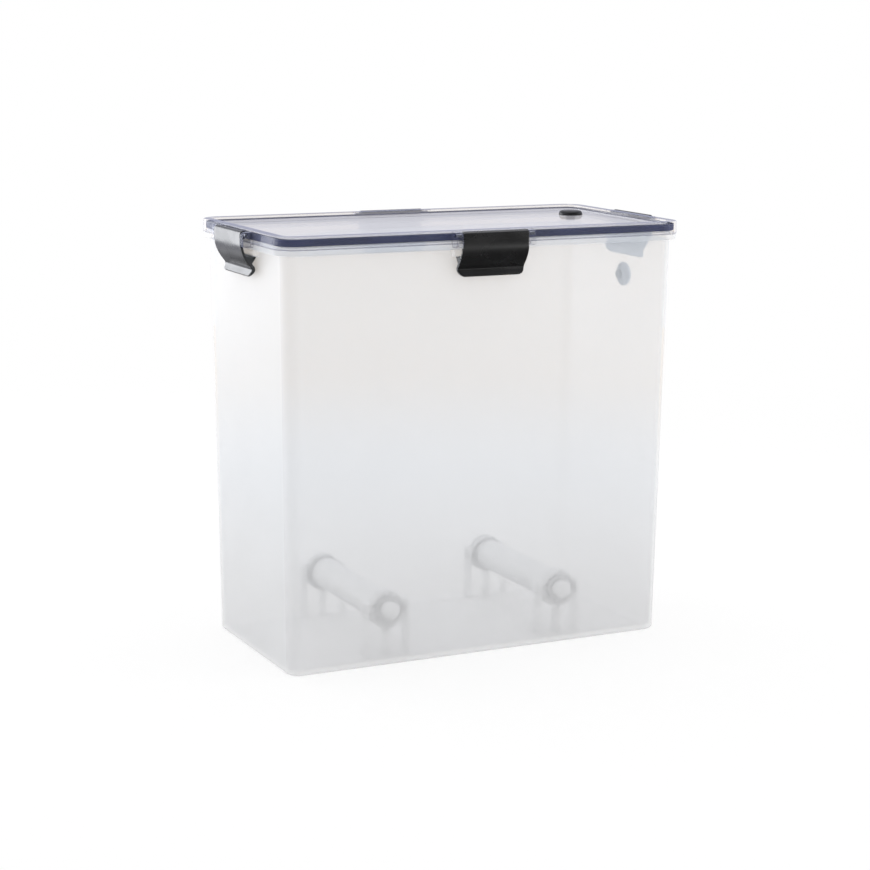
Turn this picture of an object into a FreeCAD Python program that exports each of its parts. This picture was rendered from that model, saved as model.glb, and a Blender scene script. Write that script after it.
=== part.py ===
"""Filament dryer box: a sealed tub with a latched lid, two stoppered ports and two spool rollers.

Millimetres, +Z up, origin under the middle of the tub, front towards -Y.
"""
import FreeCAD
import Part
import Sketcher
import math
import os
import re

# Driving sizes: name, millimetres (or a count), what it is

SIZES = [
    ("lid_length", 310.0, "lid, left to right"),
    ("lid_depth", 159.5, "lid, front to back"),
    ("overall_height", 302.0, "floor to the top of the lid's border"),
    ("lid_corner", 15.5, "lid's corner radius in plan"),
    ("skirt_height", 9.2, "lid's outer wall, top to bottom"),
    ("skirt_wall", 2.0, "lid's outer wall thickness"),
    ("lid_edge_round", 0.9, "rounding of the lid's top edge"),
    ("border_width", 7.0, "raised border round the lid's panel"),
    ("border_thickness", 2.0, "lid's border above the seal channel"),
    ("recess_depth", 2.5, "lid's panel below its border"),
    ("panel_thickness", 2.2, "lid's panel"),
    ("channel_width", 3.0, "seal channel in the lid"),
    ("channel_lip_gap", 1.2, "channel's inner wall above the skirt's lower edge"),
    ("gasket_side_gap", 0.1, "seal to each side of its channel"),
    ("gasket_round", 0.6, "rounding of the seal's lower edges"),
    ("seat_gap", 0.1, "closed lid and seal above the tub's rim"),
    ("lid_overhang", 4.9, "lid past the tub's wall at the rim, each side"),
    ("wall_draft", 4.25, "lean of each wall from the rim to the base"),
    ("tub_wall", 2.2, "tub's wall thickness"),
    ("tub_floor", 2.2, "tub's floor thickness"),
    ("base_corner", 9.5, "tub's corner radius at the base"),
    ("base_bevel", 1.4, "bevel round the tub's base"),
    ("foot_height", 1.2, "standing rim under the floor"),
    ("foot_width", 8.0, "width of the standing rim"),
    ("foot_corner", 3.0, "corner radius inside the standing rim"),
    ("flange_thickness", 3.7, "tub's rim flange"),
    ("flange_inset", 0.6, "flange's edge inside the lid's edge"),
    ("bead_width", 1.6, "sealing bead on the flange"),
    ("bead_height", 2.5, "sealing bead on the flange"),
    ("keeper_length", 56.0, "catch under the flange at each latch"),
    ("keeper_drop", 4.7, "catch below the flange"),
    ("keeper_inset", 1.2, "catch's face inside the lid's edge"),
    ("keeper_slope", 1.0, "slope under the catch"),
    ("latch_width", 51.0, "latch's flap, side to side"),
    ("latch_thickness", 2.5, "latch's flap at its top and its lip, measured level"),
    ("slant_thickness", 3.2, "latch's flap between its bends, measured level"),
    ("latch_corner", 5.5, "lower corners of the flap"),
    ("latch_ear", 0.6, "flap past its hinge barrel, each side"),
    ("hinge_offset", 4.7, "hinge axis out from the lid's edge"),
    ("hinge_drop", 3.0, "hinge axis below the lid's top"),
    ("barrel_radius", 2.8, "latch's hinge barrel"),
    ("pin_diameter", 2.4, "hinge pin"),
    ("pin_fit", 0.05, "pin in its holes, radial"),
    ("pin_inset", 0.2, "pin's ends inside the lugs' faces"),
    ("knee_drop", 12.6, "flap's upper bend below the hinge axis"),
    ("valley_drop", 23.8, "flap's lower bend below the hinge axis"),
    ("valley_inset", 8.7, "flap's lower bend inside its upper face"),
    ("lip_drop", 28.8, "flap's lower edge below the hinge axis"),
    ("lip_flare", 2.8, "flap's lower edge out from the lower bend"),
    ("knee_round", 26.0, "radius of the upper bend, outside"),
    ("knee_back_round", 9.0, "radius of the upper bend, inside"),
    ("valley_round", 2.5, "radius of the lower bend, outside"),
    ("valley_back_round", 4.0, "radius of the lower bend, inside"),
    ("hook_gap", 0.3, "hook under its catch"),
    ("hook_wall_gap", 1.0, "hook's tip to the tub's wall"),
    ("hook_nose", 0.8, "height of the hook's blunt tip"),
    ("hook_depth", 4.6, "hook's top to its root on the flap"),
    ("lip_round", 1.0, "rounding of the flap's lower edge"),
    ("lug_width", 5.0, "hinge lug along the hinge"),
    ("lug_gap", 0.4, "lug to latch along the hinge"),
    ("lug_reach", 7.5, "lug out from the lid's edge"),
    ("lug_height", 10.5, "lug, top to bottom"),
    ("lug_root", 0.3, "lug let into the lid's edge"),
    ("lug_drop", 0.8, "lug's top below the lid's top"),
    ("lug_corner", 2.6, "lug's rounded corners"),
    ("port_diameter", 7.0, "filament port"),
    ("port_boss", 20.0, "seat round the wall's port"),
    ("boss_proud", 0.6, "seat out from the wall"),
    ("lid_port_side", 37.0, "lid's port in from the lid's right edge"),
    ("lid_port_back", 59.75, "lid's port in from the lid's back edge"),
    ("wall_port_y", -3.5, "wall's port, from the middle"),
    ("wall_port_drop", 45.7, "wall's port below the lid's top"),
    ("plug_cap", 17.5, "stopper's cap diameter"),
    ("plug_cap_height", 3.2, "stopper's cap"),
    ("plug_cap_round", 2.6, "rounding of the stopper's cap"),
    ("plug_stem", 4.2, "stopper's stem below its cap"),
    ("plug_taper", 4.0, "stopper's stem, degrees a side"),
    ("plug_fit", 0.08, "stem in its port, radial"),
    ("roller_spacing", 137.0, "between the two roller axes"),
    ("cradle_span", 123.6, "over the cradles, front to back"),
    ("fin_pitch", 15.6, "between a cradle's fins"),
    ("fin_thickness", 2.0, "cradle fin"),
    ("fin_depth", 11.2, "cradle fin, front to back"),
    ("tall_fin", 42.6, "outer fins above the floor"),
    ("short_fin", 19.7, "middle fin above the floor"),
    ("fin_slope", 2.8, "fall of a tall fin's top"),
    ("fin_root", 1.0, "fin let into the floor"),
    ("bearing_diameter", 28.0, "ball bearing, outside"),
    ("bearing_bore", 12.0, "ball bearing's bore"),
    ("bearing_width", 8.0, "ball bearing"),
    ("ball_diameter", 4.76, "ball"),
    ("ball_count", 12, "balls in a bearing"),
    ("race_gap", 0.06, "ball to its groove"),
    ("ring_gap", 3.2, "between the bearing's rings"),
    ("bearing_seat_gap", 0.1, "bearing above the short fin"),
    ("axle_fit", 0.02, "axle in what it carries, radial"),
    ("axle_end_gap", 1.0, "axle's ends to the tub's walls"),
    ("axle_chamfer", 0.8, "chamfer on the axle's ends"),
    ("sleeve_diameter", 22.0, "roller's sleeve"),
    ("sleeve_end_gap", 0.3, "sleeve to each bearing"),
    ("sleeve_round", 1.2, "rounding of the sleeve's ends"),
]

# Places and sizes that follow from the driving sizes

PLACES = [
    ("skirt_bottom", "overall_height - skirt_height"),
    ("flange_top", "skirt_bottom - seat_gap"),
    ("flange_bottom", "flange_top - flange_thickness"),
    ("keeper_bottom", "flange_bottom - keeper_drop"),
    ("channel_top", "overall_height - border_thickness"),
    ("channel_lip", "skirt_bottom + channel_lip_gap"),
    ("panel_top", "overall_height - recess_depth"),
    ("panel_bottom", "panel_top - panel_thickness"),
    ("gasket_bottom", "flange_top + bead_height + seat_gap"),
    ("rim_length", "lid_length - 2 * lid_overhang"),
    ("rim_depth", "lid_depth - 2 * lid_overhang"),
    ("rim_corner", "lid_corner - lid_overhang"),
    ("base_length", "rim_length - 2 * wall_draft"),
    ("base_depth", "rim_depth - 2 * wall_draft"),
    ("floor_top", "foot_height + tub_floor"),
    ("lean_at_floor", "wall_draft * (1 - floor_top / flange_top)"),
    ("hinge_height", "overall_height - hinge_drop"),
    ("hinge_front", "lid_depth / 2 + hinge_offset"),
    ("hinge_side", "lid_length / 2 + hinge_offset"),
    ("latch_root", "latch_width / 2 - latch_ear"),
    ("hook_drop", "hinge_height - keeper_bottom + hook_gap"),
    ("lug_middle", "latch_root + lug_gap + lug_width / 2"),
    ("pin_length", "2 * (lug_middle + lug_width / 2 - pin_inset)"),
    ("lug_top", "overall_height - lug_drop"),
    ("lug_bottom", "lug_top - lug_height"),
    ("lid_port_x", "lid_length / 2 - lid_port_side"),
    ("lid_port_y", "lid_depth / 2 - lid_port_back"),
    ("wall_port_z", "overall_height - wall_port_drop"),
    ("wall_port_seat", "rim_length / 2 - wall_draft * (1 - wall_port_z / flange_top) + boss_proud"),
    ("bearing_middle", "cradle_span / 2 - fin_depth / 2"),
    ("roller_height", "floor_top + short_fin + bearing_seat_gap + bearing_diameter / 2"),
    ("roller_wall", "rim_depth / 2 - wall_draft * (1 - roller_height / flange_top) - tub_wall"),
    ("axle_length", "2 * (roller_wall - axle_end_gap)"),
    ("sleeve_length", "2 * bearing_middle - bearing_width - 2 * sleeve_end_gap"),
    ("ball_circle", "(bearing_diameter + bearing_bore) / 2"),
]

document = FreeCAD.newDocument("filament_dryer_box")
sub_parts = []


# The sheets that hold the sizes

def tie(text):
    """Turn size names in a formula into references to the sheets."""
    size_names = {row[0] for row in SIZES}
    place_names = {row[0] for row in PLACES}

    def refer(match):
        word = match.group(0)
        if word in size_names:
            return "dims." + word
        return "places." + word if word in place_names else word

    return re.sub(r"[a-z][a-z_]*", refer, str(text))


def fill_sheets():
    dims = document.addObject("Spreadsheet::Sheet", "dims")
    for row, (alias, value, meaning) in enumerate(SIZES, start=1):
        dims.set(f"A{row}", meaning)
        dims.set(f"B{row}", str(value))
        dims.setAlias(f"B{row}", alias)
    document.recompute()
    places = document.addObject("Spreadsheet::Sheet", "places")
    for row, (alias, formula) in enumerate(PLACES, start=1):
        places.set(f"A{row}", alias.replace("_", " "))
        places.setAlias(f"B{row}", alias)
        places.set(f"B{row}", "=" + tie(formula).replace("places.", ""))
    document.recompute()


def value_of(formula):
    """The present value of a formula in size names."""
    result = document.dims.evalExpression(tie(formula))
    return float(getattr(result, "Value", result))


def bind(item, path, formula):
    item.setExpression(path, tie(formula))


# Bodies, sketches and features

QUARTER = math.pi / 2


def new_body(label):
    body = document.addObject("PartDesign::Body", label)
    body.Label = label
    sub_parts.append(body)
    return body


def origin_plane(body, role):
    return next(item for item in body.Origin.OriginFeatures if item.Role == role)


def new_sketch(body, name, role, offset="0"):
    """A sketch on one of the body's own planes, moved along that plane's normal."""
    sketch = body.newObject("Sketcher::SketchObject", name)
    sketch.AttachmentSupport = [(origin_plane(body, role), "")]
    sketch.MapMode = "FlatFace"
    bind(sketch, "AttachmentOffset.Base.z", offset)
    return sketch


def add_size(sketch, constraint, formula):
    index = sketch.addConstraint(constraint)
    bind(sketch, f"Constraints[{index}]", formula)


def fix_point(sketch, geometry, position, x, y):
    """Hold one point of a sketch at two formulas."""
    for kind, formula in (("DistanceX", x), ("DistanceY", y)):
        constraint = Sketcher.Constraint(kind, -1, 1, geometry, position, value_of(formula))
        add_size(sketch, constraint, formula)


def draw_circle(sketch, x, y, radius):
    centre = FreeCAD.Vector(value_of(x), value_of(y), 0)
    circle = Part.Circle(centre, FreeCAD.Vector(0, 0, 1), value_of(radius))
    geometry = sketch.addGeometry(circle, False)
    fix_point(sketch, geometry, 3, x, y)
    add_size(sketch, Sketcher.Constraint("Radius", geometry, value_of(radius)), radius)


def draw_loop(sketch, corners):
    """A closed loop, anticlockwise. A corner is a point (x, y) or a round (x, y, radius, quarter)
    about its centre, where quarter 0 starts towards +X."""
    arcs = {}
    ends = []
    for number, corner in enumerate(corners):
        centre = FreeCAD.Vector(value_of(corner[0]), value_of(corner[1]), 0)
        if len(corner) == 2:
            ends.append((centre, centre))
            continue
        circle = Part.Circle(centre, FreeCAD.Vector(0, 0, 1), value_of(corner[2]))
        start = corner[3] * QUARTER
        arc = Part.ArcOfCircle(circle, start, start + QUARTER)
        ends.append((arc.StartPoint, arc.EndPoint))
        arcs[number] = sketch.addGeometry(arc, False)
    count = len(corners)
    lines = []
    for number in range(count):
        side = Part.LineSegment(ends[number][1], ends[(number + 1) % count][0])
        lines.append(sketch.addGeometry(side, False))
    for number, corner in enumerate(corners):
        following = lines[number]
        leading = lines[number - 1]
        if number in arcs:
            sketch.addConstraint(Sketcher.Constraint("Tangent", leading, 2, arcs[number], 1))
            sketch.addConstraint(Sketcher.Constraint("Tangent", arcs[number], 2, following, 1))
            fix_point(sketch, arcs[number], 3, corner[0], corner[1])
            radius = Sketcher.Constraint("Radius", arcs[number], value_of(corner[2]))
            add_size(sketch, radius, corner[2])
        else:
            sketch.addConstraint(Sketcher.Constraint("Coincident", leading, 2, following, 1))
            fix_point(sketch, following, 1, corner[0], corner[1])


def draw_rounded_rectangle(sketch, width, height, radius, x="0", y="0"):
    """A rectangle with round corners, centred on x and y."""
    across = f"(({width}) / 2 - ({radius}))"
    along = f"(({height}) / 2 - ({radius}))"
    draw_loop(sketch, [
        (f"{x} + {across}", f"{y} + {along}", radius, 0),
        (f"{x} - {across}", f"{y} + {along}", radius, 1),
        (f"{x} - {across}", f"{y} - {along}", radius, 2),
        (f"{x} + {across}", f"{y} - {along}", radius, 3),
    ])


def extrude(body, kind, sketch, length, reverse=False, both_ways=False):
    """A Pad or a Pocket of a sketch."""
    feature = body.newObject("PartDesign::" + kind, sketch.Name + "_" + kind.lower())
    feature.Profile = sketch
    bind(feature, "Length", length)
    feature.Reversed = reverse
    if both_ways:
        feature.SideType = "Symmetric"
    body.Tip = feature
    document.recompute()
    return feature


def loft(body, kind, name, lower, others):
    feature = body.newObject("PartDesign::" + kind, name)
    feature.Profile = lower
    feature.Sections = others
    feature.Ruled = True
    body.Tip = feature
    document.recompute()


def mirror(body, features, role):
    """Copy features across one of the body's own planes."""
    copy = body.newObject("PartDesign::Mirrored", features[0].Name + "_mirror")
    copy.Originals = features
    copy.MirrorPlane = (origin_plane(body, role), [""])
    body.Tip = copy
    document.recompute()


def soften(body, kind, size, chosen):
    """A Fillet or a Chamfer on the edges of the body's tip that a test picks out."""
    base = body.Tip
    names = [f"Edge{number}" for number, edge in enumerate(base.Shape.Edges, start=1) if chosen(edge)]
    if not names:
        raise RuntimeError("no edges to soften on " + body.Label)
    feature = body.newObject("PartDesign::" + kind, f"{body.Label}_{kind.lower()}")
    feature.Base = (base, names)
    bind(feature, "Radius" if kind == "Fillet" else "Size", size)
    body.Tip = feature
    document.recompute()


# Ways to pick edges out by where they lie

NEAR = 1e-4


def level_edge(height):
    """Edges that lie at one height."""
    def test(edge):
        box = edge.BoundBox
        return abs(box.ZMin - height) < NEAR and abs(box.ZMax - height) < NEAR
    return test


def outer_edge(shape, height):
    """The outer loop of the face that lies at one height."""
    at_height = level_edge(height)
    faces = [face for face in shape.Faces if at_height(face)]
    loop = max(faces, key=lambda face: face.BoundBox.DiagonalLength).OuterWire.Edges
    return lambda edge: any(edge.isSame(member) for member in loop)


def bend_edge(y, z):
    """Edges along X through a point of the YZ plane, given as formulas."""
    place = (value_of(y), value_of(z))

    def test(edge):
        box = edge.BoundBox
        straight = box.YLength < NEAR and box.ZLength < NEAR
        return straight and abs(box.YMin - place[0]) < NEAR and abs(box.ZMin - place[1]) < NEAR
    return test


def end_edge(distance, radius):
    """Round edges of one radius about the Y axis, at one distance either way along it."""
    def test(edge):
        box = edge.BoundBox
        flat = box.YLength < NEAR and abs(abs(box.YMin) - distance) < NEAR
        return flat and abs(box.XMax - radius) < NEAR
    return test


# The tub

def lid_outline(sketch, inset):
    """The lid's outline drawn in by a formula."""
    draw_rounded_rectangle(
        sketch,
        f"lid_length - 2 * ({inset})",
        f"lid_depth - 2 * ({inset})",
        f"lid_corner - ({inset})",
    )


def tub_outline(sketch, inset, corner):
    """The tub's outline at the rim drawn in by a formula."""
    draw_rounded_rectangle(sketch, f"rim_length - 2 * ({inset})", f"rim_depth - 2 * ({inset})", corner)


def make_container():
    body = new_body("container")
    add_tub_shell(body)
    add_rim(body)
    add_keepers(body)
    add_cradles(body)
    add_wall_port(body)


def add_tub_shell(body):
    base = new_sketch(body, "tub_base", "XY_Plane")
    tub_outline(base, "wall_draft + base_bevel", "base_corner - base_bevel")
    knuckle = new_sketch(body, "tub_knuckle", "XY_Plane", "base_bevel")
    tub_outline(knuckle, "wall_draft * (1 - base_bevel / flange_top)", "base_corner")
    rim = new_sketch(body, "tub_rim", "XY_Plane", "flange_top")
    tub_outline(rim, "0", "rim_corner")
    loft(body, "AdditiveLoft", "tub_block", base, [knuckle, rim])

    floor = new_sketch(body, "cavity_floor", "XY_Plane", "floor_top")
    tub_outline(floor, "lean_at_floor + tub_wall", "base_corner - tub_wall")
    mouth = new_sketch(body, "cavity_mouth", "XY_Plane", "flange_top")
    tub_outline(mouth, "tub_wall", "rim_corner - tub_wall")
    loft(body, "SubtractiveLoft", "tub_cavity", floor, [mouth])

    foot = new_sketch(body, "foot_recess", "XY_Plane")
    foot_length = "base_length - 2 * foot_width"
    foot_depth = "base_depth - 2 * foot_width"
    draw_rounded_rectangle(foot, foot_length, foot_depth, "foot_corner")
    extrude(body, "Pocket", foot, "foot_height", reverse=True)


def add_rim(body):
    flange = new_sketch(body, "rim_flange", "XY_Plane", "flange_bottom")
    lid_outline(flange, "flange_inset")
    tub_outline(flange, "tub_wall / 2", "rim_corner - tub_wall / 2")
    extrude(body, "Pad", flange, "flange_thickness")

    bead = new_sketch(body, "sealing_bead", "XY_Plane", "flange_top")
    lid_outline(bead, "skirt_wall + channel_width / 2 - bead_width / 2")
    lid_outline(bead, "skirt_wall + channel_width / 2 + bead_width / 2")
    extrude(body, "Pad", bead, "bead_height")


def add_keepers(body):
    """A catch under the flange in the middle of each side."""
    buried = "flange_bottom + flange_thickness / 2"
    for name, role, lid_size, rim_size, across in (
        ("keeper_front", "YZ_Plane", "lid_depth", "rim_depth", "XZ_Plane"),
        ("keeper_left", "XZ_Plane", "lid_length", "rim_length", "YZ_Plane"),
    ):
        sketch = new_sketch(body, name, role)
        root = f"tub_wall / 2 - {rim_size} / 2"
        face = f"keeper_inset - {lid_size} / 2"
        draw_loop(sketch, [
            (root, buried),
            (face, buried),
            (face, "keeper_bottom + keeper_slope"),
            (f"{face} + keeper_slope", "keeper_bottom"),
            (root, "keeper_bottom"),
        ])
        pad = extrude(body, "Pad", sketch, "keeper_length", both_ways=True)
        mirror(body, [pad], across)


def add_cradles(body):
    """Four cradles on the floor, each a short fin between two tall ones."""
    foot = "floor_top - fin_root"
    for side, sign in (("left", "-"), ("right", "")):
        for fin, step, height, fall in (
            ("inner", "- fin_pitch", "tall_fin", "fin_slope"),
            ("middle", "", "short_fin", "0"),
            ("outer", "+ fin_pitch", "tall_fin", "fin_slope"),
        ):
            middle = f"{sign}(roller_spacing / 2 {step})"
            sketch = new_sketch(body, f"fin_{side}_{fin}", "YZ_Plane", middle)
            top = f"floor_top + {height}"
            for end in ("", "-"):
                outer = f"{end}(cradle_span / 2)"
                inner = f"{end}(cradle_span / 2 - fin_depth)"
                peak = f"{top} - {fall}"
                draw_loop(sketch, [(outer, foot), (outer, top), (inner, peak), (inner, foot)])
            extrude(body, "Pad", sketch, "fin_thickness", both_ways=True)


def add_wall_port(body):
    """A round seat on the right wall and the port through it."""
    boss = new_sketch(body, "port_seat", "YZ_Plane", "wall_port_seat")
    draw_circle(boss, "wall_port_y", "wall_port_z", "port_boss / 2")
    extrude(body, "Pad", boss, "boss_proud + tub_wall / 2", reverse=True)
    port = new_sketch(body, "wall_port", "YZ_Plane", "wall_port_seat")
    draw_circle(port, "wall_port_y", "wall_port_z", "port_diameter / 2")
    extrude(body, "Pocket", port, "boss_proud + 2 * tub_wall")


# The lid and its seal

def make_lid():
    body = new_body("lid")
    add_lid_shell(body)
    add_lugs(body)
    port = new_sketch(body, "lid_port", "XY_Plane", "panel_top")
    draw_circle(port, "lid_port_x", "lid_port_y", "port_diameter / 2")
    extrude(body, "Pocket", port, "2 * panel_thickness")


def add_lid_shell(body):
    block = new_sketch(body, "lid_block", "XY_Plane", "skirt_bottom")
    lid_outline(block, "0")
    extrude(body, "Pad", block, "skirt_height")
    soften(body, "Fillet", "lid_edge_round", outer_edge(body.Tip.Shape, value_of("overall_height")))

    recess = new_sketch(body, "lid_recess", "XY_Plane", "overall_height")
    lid_outline(recess, "border_width")
    extrude(body, "Pocket", recess, "recess_depth")

    mouth = new_sketch(body, "lid_mouth", "XY_Plane", "skirt_bottom")
    lid_outline(mouth, "skirt_wall")
    extrude(body, "Pocket", mouth, "channel_lip_gap", reverse=True)

    under = new_sketch(body, "lid_underside", "XY_Plane", "channel_lip")
    lid_outline(under, "border_width")
    extrude(body, "Pocket", under, "panel_bottom - channel_lip", reverse=True)

    channel = new_sketch(body, "seal_channel", "XY_Plane", "channel_lip")
    lid_outline(channel, "skirt_wall")
    lid_outline(channel, "skirt_wall + channel_width")
    extrude(body, "Pocket", channel, "channel_top - channel_lip", reverse=True)


def add_lugs(body):
    """Two bored lugs beside each latch."""
    for name, role, lid_size, hinge, across in (
        ("lug_front", "YZ_Plane", "lid_depth", "hinge_front", "XZ_Plane"),
        ("lug_left", "XZ_Plane", "lid_length", "hinge_side", "YZ_Plane"),
    ):
        root = f"lug_root - {lid_size} / 2"
        round_x = f"lug_corner - lug_reach - {lid_size} / 2"
        pads = []
        for side, sign in (("first", ""), ("second", "-")):
            sketch = new_sketch(body, f"{name}_{side}", role, f"{sign}lug_middle")
            draw_loop(sketch, [
                (root, "lug_bottom"),
                (root, "lug_top"),
                (round_x, "lug_top - lug_corner", "lug_corner", 1),
                (round_x, "lug_bottom + lug_corner", "lug_corner", 2),
            ])
            draw_circle(sketch, f"-{hinge}", "hinge_height", "pin_diameter / 2 + pin_fit")
            pads.append(extrude(body, "Pad", sketch, "lug_width", both_ways=True))
        mirror(body, pads, across)


def make_gasket():
    body = new_body("lid_gasket")
    ring = new_sketch(body, "gasket_ring", "XY_Plane", "gasket_bottom")
    lid_outline(ring, "skirt_wall + gasket_side_gap")
    lid_outline(ring, "skirt_wall + channel_width - gasket_side_gap")
    extrude(body, "Pad", ring, "channel_top - gasket_bottom")
    soften(body, "Fillet", "gasket_round", level_edge(value_of("gasket_bottom")))


# The four latches and their pins, drawn about the hinge axis with the outside towards -Y

FACE = "-barrel_radius"
VALLEY = "(valley_inset - barrel_radius)"
LIP = "(valley_inset - barrel_radius - lip_flare)"
HOOK_TIP = "(lid_overhang - hook_wall_gap + hinge_offset)"
THICKENING = "(slant_thickness - latch_thickness)"
KNEE_BACK = f"(knee_drop - {THICKENING} * (valley_drop - knee_drop) / valley_inset)"


def flap_back(drop):
    """How far in the flap's inner side lies between its two bends."""
    fall = f"(({drop}) - knee_drop) / (valley_drop - knee_drop)"
    return f"{FACE} + slant_thickness + valley_inset * {fall}"


def make_latch(side):
    body = new_body("latch_" + side)
    hook_foot = "(hook_drop + hook_depth)"
    flap = new_sketch(body, "flap_" + side, "YZ_Plane")
    draw_loop(flap, [
        (FACE, "0"),
        (FACE, "-knee_drop"),
        (VALLEY, "-valley_drop"),
        (LIP, "-lip_drop"),
        (f"{LIP} + latch_thickness", "-lip_drop"),
        (flap_back("valley_drop"), "-valley_drop"),
        (flap_back(hook_foot), f"-{hook_foot}"),
        (HOOK_TIP, "-(hook_drop + hook_nose)"),
        (HOOK_TIP, "-hook_drop"),
        (flap_back("hook_drop"), "-hook_drop"),
        (f"{FACE} + latch_thickness", f"-{KNEE_BACK}"),
        (f"{FACE} + latch_thickness", "0"),
    ])
    extrude(body, "Pad", flap, "latch_width", both_ways=True)
    for y, z, radius in (
        (FACE, "-knee_drop", "knee_round"),
        (f"{FACE} + latch_thickness", f"-{KNEE_BACK}", "knee_back_round"),
        (VALLEY, "-valley_drop", "valley_round"),
        (flap_back("valley_drop"), "-valley_drop", "valley_back_round"),
        (LIP, "-lip_drop", "lip_round"),
        (f"{LIP} + latch_thickness", "-lip_drop", "lip_round"),
    ):
        soften(body, "Fillet", radius, bend_edge(y, z))
    barrel = new_sketch(body, "barrel_" + side, "YZ_Plane")
    draw_circle(barrel, "0", "0", "barrel_radius")
    extrude(body, "Pad", barrel, "latch_width", both_ways=True)
    trim_latch(body, side)
    bore = new_sketch(body, "latch_bore_" + side, "YZ_Plane")
    draw_circle(bore, "0", "0", "pin_diameter / 2 + pin_fit")
    extrude(body, "Pocket", bore, "2 * latch_width", both_ways=True)
    return body


def trim_latch(body, side):
    """Round the flap's lower corners and clear the lugs beside the barrel."""
    corners = new_sketch(body, "flap_front_" + side, "XZ_Plane")
    draw_rounded_rectangle(corners, "2 * latch_width", "2 * latch_width", "latch_corner")
    height = "(lip_drop + barrel_radius + 2 * latch_corner)"
    middle = f"{height} / 2 - lip_drop"
    draw_rounded_rectangle(corners, "latch_width", height, "latch_corner", y=middle)
    extrude(body, "Pocket", corners, "2 * latch_width", both_ways=True)

    notches = new_sketch(body, "lug_notches_" + side, "XZ_Plane")
    foot = "lug_bottom - hinge_height - lug_gap"
    top = "2 * barrel_radius"
    for near, far in (("latch_root", "latch_width"), ("-latch_width", "-latch_root")):
        draw_loop(notches, [(near, foot), (far, foot), (far, top), (near, top)])
    extrude(body, "Pocket", notches, "2 * latch_width", both_ways=True)


def make_pin(side):
    body = new_body("latch_pin_" + side)
    sketch = new_sketch(body, "pin_end_" + side, "YZ_Plane")
    draw_circle(sketch, "0", "0", "pin_diameter / 2")
    extrude(body, "Pad", sketch, "pin_length", both_ways=True)
    return body


def place(item, axis, turn, x, y, z):
    """Turn a piece about an axis and put its own origin at three formulas."""
    item.Placement = FreeCAD.Placement(FreeCAD.Vector(), FreeCAD.Rotation(FreeCAD.Vector(*axis), turn))
    bind(item, "Placement.Base.x", x)
    bind(item, "Placement.Base.y", y)
    bind(item, "Placement.Base.z", z)


def make_latches():
    for side, turn, x, y in (
        ("front", 0, "0", "-hinge_front"),
        ("back", 180, "0", "hinge_front"),
        ("left", -90, "-hinge_side", "0"),
        ("right", 90, "hinge_side", "0"),
    ):
        for piece in (make_latch(side), make_pin(side)):
            place(piece, (0, 0, 1), turn, x, y, "hinge_height")


# The two port stoppers, drawn with their seat at the origin and their cap upwards

def make_plug(label):
    body = new_body(label)
    cap = new_sketch(body, label + "_cap", "XY_Plane")
    draw_circle(cap, "0", "0", "plug_cap / 2")
    extrude(body, "Pad", cap, "plug_cap_height")
    soften(body, "Fillet", "plug_cap_round", level_edge(value_of("plug_cap_height")))
    stem = new_sketch(body, label + "_stem", "XY_Plane")
    draw_circle(stem, "0", "0", "port_diameter / 2 - plug_fit")
    pad = extrude(body, "Pad", stem, "plug_stem", reverse=True)
    bind(pad, "TaperAngle", "-plug_taper")
    document.recompute()
    return body


def make_plugs():
    place(make_plug("lid_plug"), (0, 0, 1), 0, "lid_port_x", "lid_port_y", "panel_top")
    place(make_plug("wall_plug"), (0, 1, 0), 90, "wall_port_seat", "wall_port_y", "wall_port_z")


# The two spool rollers: an axle, a sleeve and a ball bearing at each end

def make_rollers():
    outer_bore = "ball_circle / 2 + ring_gap / 2"
    inner_edge = "ball_circle / 2 - ring_gap / 2"
    for side, x in (("left", "-roller_spacing / 2"), ("right", "roller_spacing / 2")):
        for piece in (make_axle(side), make_sleeve(side)):
            place(piece, (0, 0, 1), 0, x, "0", "roller_height")
        for end, y in (("front", "-bearing_middle"), ("back", "bearing_middle")):
            name = f"roller_{side}_{end}_bearing"
            outer = make_ring(name + "_outer_ring", "bearing_diameter / 2", outer_bore)
            inner = make_ring(name + "_inner_ring", inner_edge, "bearing_bore / 2")
            for piece in (outer, inner, make_balls(name + "_balls")):
                place(piece, (1, 0, 0), 90, x, y, "roller_height")


def make_axle(side):
    body = new_body("roller_axle_" + side)
    sketch = new_sketch(body, "axle_end_" + side, "XZ_Plane")
    draw_circle(sketch, "0", "0", "bearing_bore / 2 - axle_fit")
    extrude(body, "Pad", sketch, "axle_length", both_ways=True)
    ends = end_edge(value_of("axle_length / 2"), value_of("bearing_bore / 2 - axle_fit"))
    soften(body, "Chamfer", "axle_chamfer", ends)
    return body


def make_sleeve(side):
    body = new_body("roller_sleeve_" + side)
    sketch = new_sketch(body, "sleeve_end_" + side, "XZ_Plane")
    draw_circle(sketch, "0", "0", "sleeve_diameter / 2")
    draw_circle(sketch, "0", "0", "bearing_bore / 2")
    extrude(body, "Pad", sketch, "sleeve_length", both_ways=True)
    ends = end_edge(value_of("sleeve_length / 2"), value_of("sleeve_diameter / 2"))
    soften(body, "Fillet", "sleeve_round", ends)
    return body


def primitive(kind, name, **formulas):
    item = document.addObject("Part::" + kind, name)
    for path, formula in formulas.items():
        bind(item, path, formula)
    return item


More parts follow.
